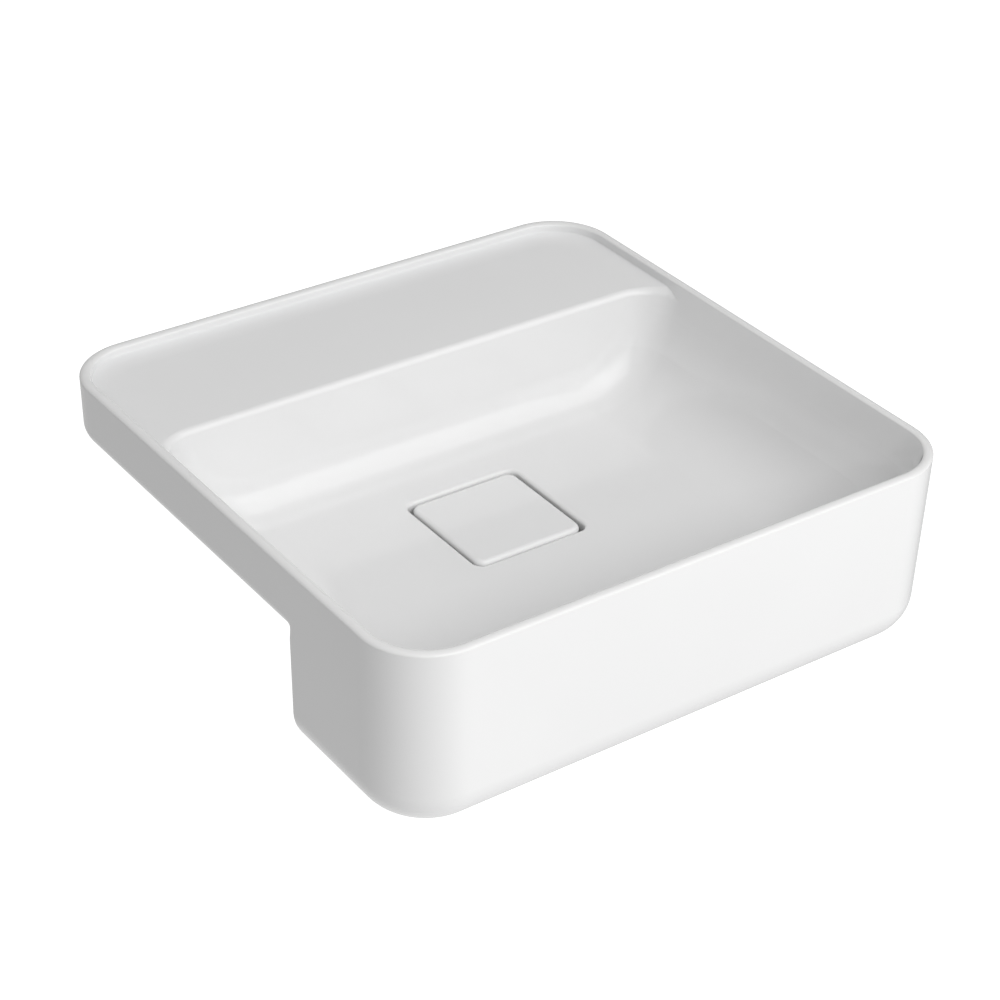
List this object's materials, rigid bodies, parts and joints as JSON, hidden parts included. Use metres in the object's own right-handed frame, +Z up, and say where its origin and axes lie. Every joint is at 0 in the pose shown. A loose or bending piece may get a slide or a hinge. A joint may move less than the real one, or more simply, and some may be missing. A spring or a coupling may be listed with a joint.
{
  "type": "semi-recessed washbasin",
  "caption": "Square white ceramic washbasin with a sunken rear shelf and a deep front apron, for the edge of a countertop; a lift-off ceramic cover hides the waste.",
  "frame": {"origin": "centre of the flat seat under the rear shelf, on the centre plane, where the basin rests on the countertop; the drain axis is 150 mm in front of it", "axes": "+Z up, +X to the right of someone standing at the basin, -Y towards that person"},
  "size_m": [0.42, 0.418, 0.17],
  "materials": {
    "glazed_china": "white gloss glaze over vitreous china, unglazed where it rests",
    "cover_china": "white gloss glaze",
    "pad_rubber": "soft matt grey silicone",
    "seal_rubber": "matt black moulded rubber",
    "waste_chrome": "bright chrome plate on brass",
    "strainer_steel": "turned and polished stainless steel",
    "screw_steel": "machined stainless steel",
    "washer_plastic": "natural nylon, satin",
    "nut_brass": "machined brass, uncoated"
  },
  "bodies": {
    "basin": {"basin": "glazed_china", "flange_gasket": "seal_rubber", "waste_body": "waste_chrome", "waste_strainer": "strainer_steel", "strainer_screw": "screw_steel", "lower_gasket": "seal_rubber", "slip_washer": "washer_plastic", "backnut": "nut_brass"},
    "cover": {"drain_cover": "cover_china", "cover_pad_1": "pad_rubber", "cover_pad_2": "pad_rubber", "cover_pad_3": "pad_rubber", "cover_pad_4": "pad_rubber"}
  },
  "joints": [
    {"name": "cover_lift", "type": "slide", "parent": "basin", "child": "cover", "axis": [0, 0, 1], "range_m": [0, 0.12]}
  ]
}
